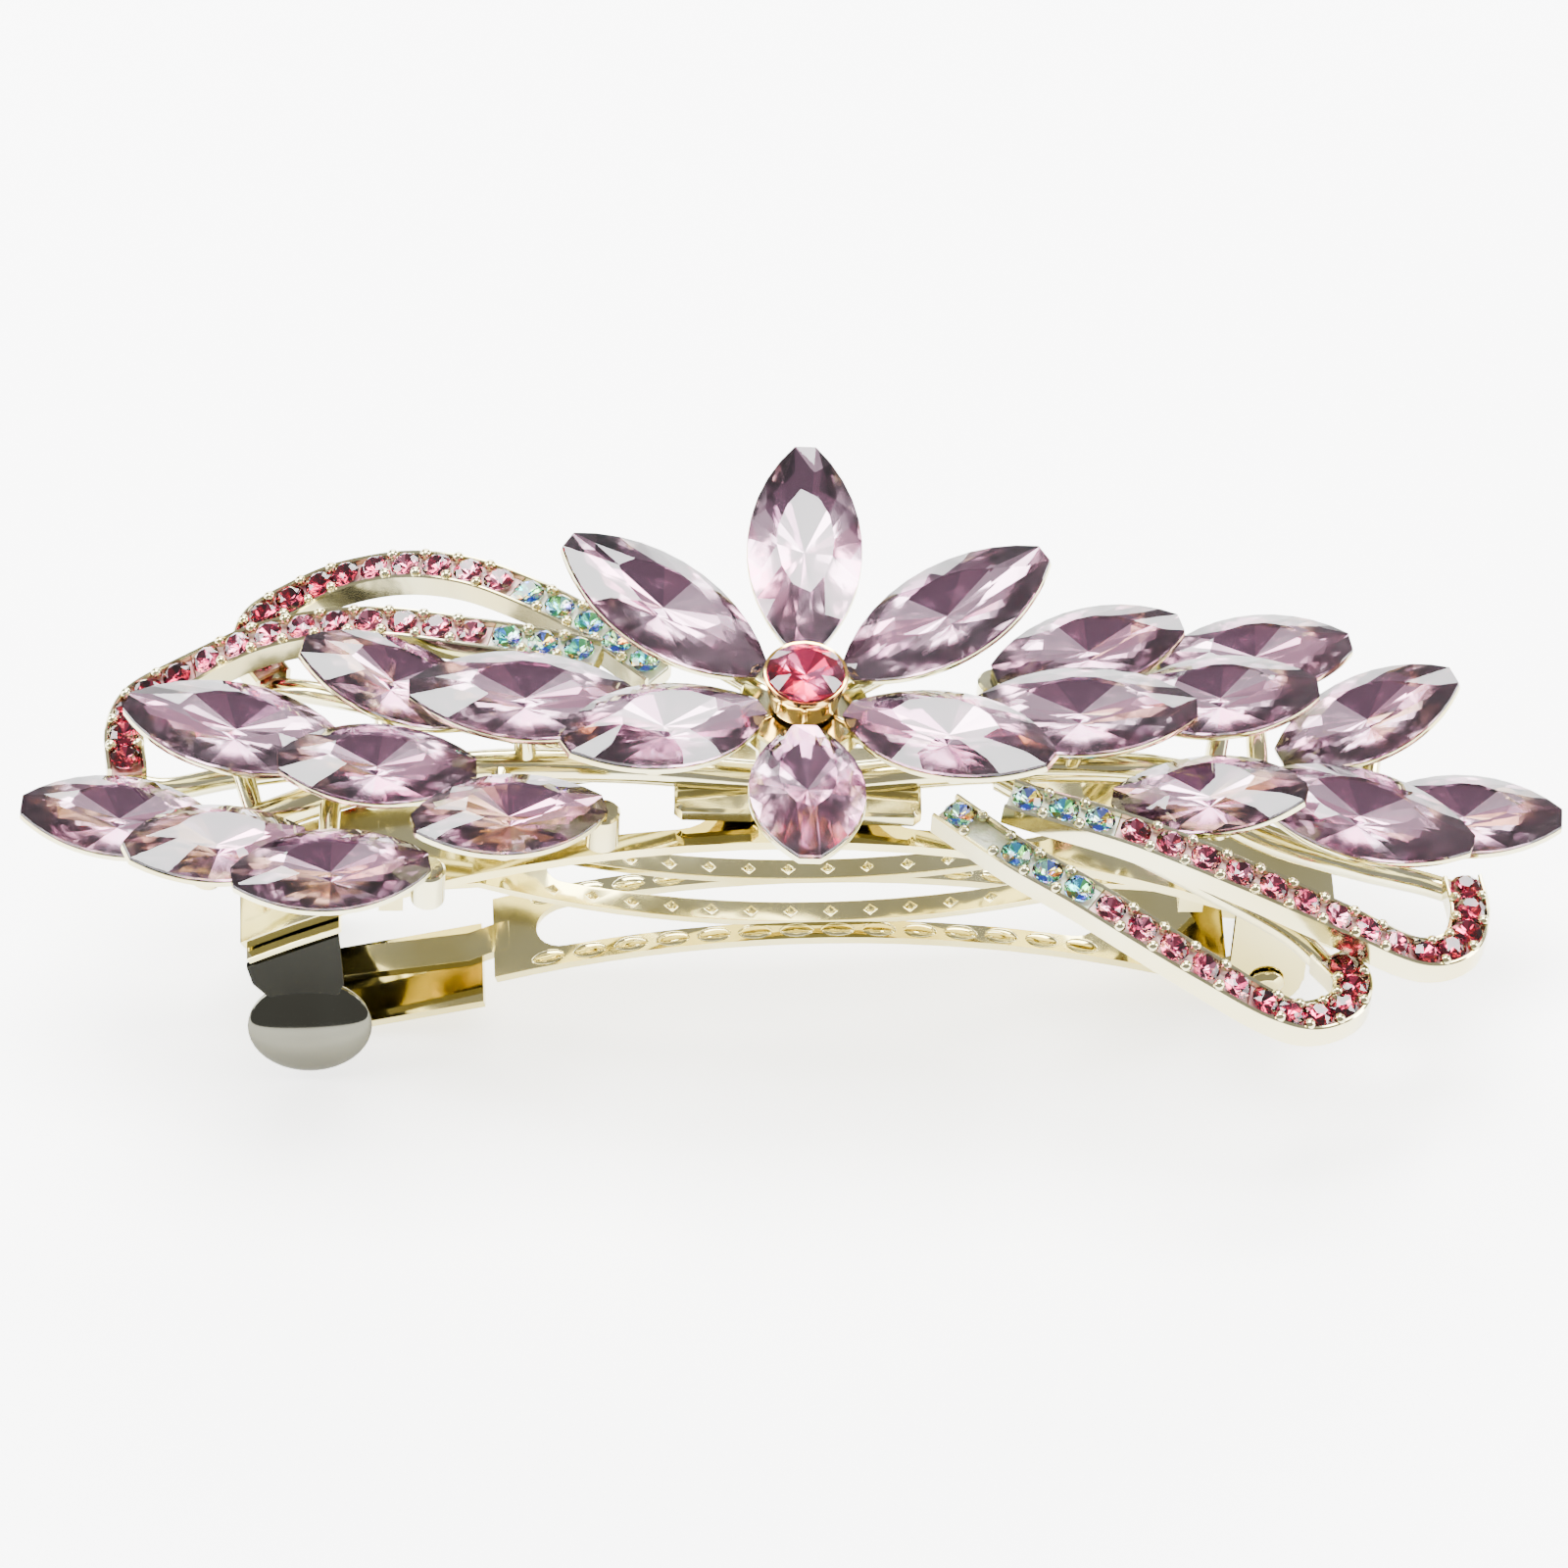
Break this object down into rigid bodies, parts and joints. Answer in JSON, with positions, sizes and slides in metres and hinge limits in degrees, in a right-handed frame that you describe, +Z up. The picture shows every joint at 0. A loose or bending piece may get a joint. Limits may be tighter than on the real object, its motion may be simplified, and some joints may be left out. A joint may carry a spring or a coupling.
{
  "type": "hair clip",
  "caption": "Sprung snap hair barrette with a hinged clasp arm, tension bow and pinch catch, carrying a stone flower between two stone sprays.",
  "frame": {"origin": "middle of the clip's overall box, at the level of the surface it lies on", "axes": "+X along the clip from the catch to the hinge, +Y to its back, +Z up through the flower"},
  "size_m": [0.1006, 0.0398, 0.0333],
  "materials": {
    "plated_steel": "pale champagne mirror plating",
    "catch_mirror": "bright mirror plating on the catch leaves",
    "cast_gold": "pale gold plated casting",
    "collar_gold": "warm gold plating",
    "pink_stone": "foil backed faceted pale pink",
    "hot_pink_stone": "foil backed faceted hot pink",
    "rose_pave": "small foil backed rose stones",
    "deep_rose_pave": "small foil backed deep rose stones",
    "aurora_pave": "small stones with a shifting coating"
  },
  "bodies": {
    "clip_base": {"base_plate": "plated_steel", "hinge_pin": "plated_steel", "catch_saddle": "plated_steel", "catch_rivet": "plated_steel", "left_spray_casting": "cast_gold", "right_spray_casting": "cast_gold", "flower_casting": "cast_gold", "centre_setting": "collar_gold", "left_leaf_stone_1": "pink_stone", "left_leaf_stone_2": "pink_stone", "left_leaf_stone_3": "pink_stone", "left_leaf_stone_4": "pink_stone", "left_leaf_stone_5": "pink_stone", "left_leaf_stone_6": "pink_stone", "left_leaf_stone_7": "pink_stone", "left_leaf_stone_8": "pink_stone", "left_outer_aurora_pave": "aurora_pave", "left_outer_rose_pave": "rose_pave", "left_outer_deep_rose_pave": "deep_rose_pave", "left_inner_aurora_pave": "aurora_pave", "left_inner_rose_pave": "rose_pave", "left_inner_deep_rose_pave": "deep_rose_pave", "right_leaf_stone_1": "pink_stone", "right_leaf_stone_2": "pink_stone", "right_leaf_stone_3": "pink_stone", "right_leaf_stone_4": "pink_stone", "right_leaf_stone_5": "pink_stone", "right_leaf_stone_6": "pink_stone", "right_leaf_stone_7": "pink_stone", "right_leaf_stone_8": "pink_stone", "right_outer_aurora_pave": "aurora_pave", "right_outer_rose_pave": "rose_pave", "right_outer_deep_rose_pave": "deep_rose_pave", "right_inner_aurora_pave": "aurora_pave", "right_inner_rose_pave": "rose_pave", "right_inner_deep_rose_pave": "deep_rose_pave", "petal_stone_1": "pink_stone", "petal_stone_2": "pink_stone", "petal_stone_3": "pink_stone", "petal_stone_4": "pink_stone", "petal_stone_5": "pink_stone", "petal_stone_6": "pink_stone", "centre_stone": "hot_pink_stone"},
    "arm": {"clasp_arm": "plated_steel"},
    "bow": {"tension_bow": "plated_steel"},
    "catch_front": {"catch_leg_front": "catch_mirror"},
    "catch_back": {"catch_leg_back": "catch_mirror"}
  },
  "joints": [
    {"name": "clasp_hinge", "type": "hinge", "parent": "clip_base", "child": "arm", "pos_m": [0.03064, 0, 0.00239], "axis": [0, -1, 0], "range_deg": [0, 80]},
    {"name": "bow_press", "type": "slide", "parent": "clip_base", "child": "bow", "axis": [0.067, 0, 0.9977], "range_m": [0, 0.001], "stiffness_N_per_m": 1500},
    {"name": "catch_pinch_front", "type": "hinge", "parent": "clip_base", "child": "catch_front", "pos_m": [-0.03306, -0.00475, 0.01053], "axis": [0.9146, 0, 0.4042], "range_deg": [0, 6], "stiffness_Nm_per_rad": 0.4},
    {"name": "catch_pinch_back", "type": "hinge", "parent": "clip_base", "child": "catch_back", "pos_m": [-0.03306, 0.00475, 0.01053], "axis": [-0.9146, 0, -0.4042], "range_deg": [0, 6], "stiffness_Nm_per_rad": 0.4}
  ]
}
